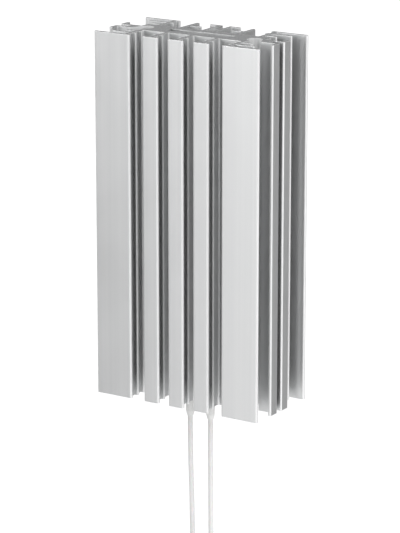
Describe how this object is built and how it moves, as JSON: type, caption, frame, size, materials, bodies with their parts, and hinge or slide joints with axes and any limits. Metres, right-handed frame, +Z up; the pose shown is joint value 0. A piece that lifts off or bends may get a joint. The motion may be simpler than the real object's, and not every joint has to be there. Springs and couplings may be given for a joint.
{
  "type": "enclosure heater",
  "caption": "Self-regulating cabinet heater: finned aluminium extrusion around a flat PTC stack, with leads below and a rail clip behind.",
  "frame": {"origin": "middle of the front face of the 35 mm rail that the clip holds", "axes": "+Y out of the back into the rail, +Z up along the extrusion, the fins' front is -Y"},
  "size_m": [0.092, 0.0563, 0.2881],
  "materials": {
    "anodised_aluminium": "satin anodised, fine lines along the extrusion, saw-cut ends",
    "film": "amber film",
    "frame_insulator": "matte",
    "ptc_ceramic": "fired ceramic",
    "electrode": "rolled sheet",
    "tinned_brass": "tinned",
    "silicone": "matte silicone",
    "sleeve": "woven glass-fibre sleeve",
    "lead_insulation": "smooth white silicone",
    "tie": "matte",
    "spring_steel": "zinc-plated sheet",
    "screw_steel": "zinc-plated"
  },
  "bodies": {
    "root": {"heatsink_profile": "anodised_aluminium", "insulation_film": "film", "stone_frame": "frame_insulator", "ptc_stone_1": "ptc_ceramic", "ptc_stone_2": "ptc_ceramic", "ptc_stone_3": "ptc_ceramic", "ptc_stone_4": "ptc_ceramic", "ptc_stone_5": "ptc_ceramic", "ptc_stone_6": "ptc_ceramic", "electrode_front": "electrode", "electrode_rear": "electrode", "crimp_left": "tinned_brass", "crimp_right": "tinned_brass", "top_seal": "silicone", "bottom_seal": "silicone", "lead_sleeve_left": "sleeve", "lead_sleeve_right": "sleeve", "lead_left": "lead_insulation", "lead_right": "lead_insulation", "lead_left_coil": "lead_insulation", "lead_right_coil": "lead_insulation", "ferrule_left": "tinned_brass", "ferrule_right": "tinned_brass", "coil_tie_left": "tie", "coil_tie_right": "tie", "din_clip": "spring_steel", "clip_screws": "screw_steel"}
  },
  "joints": []
}
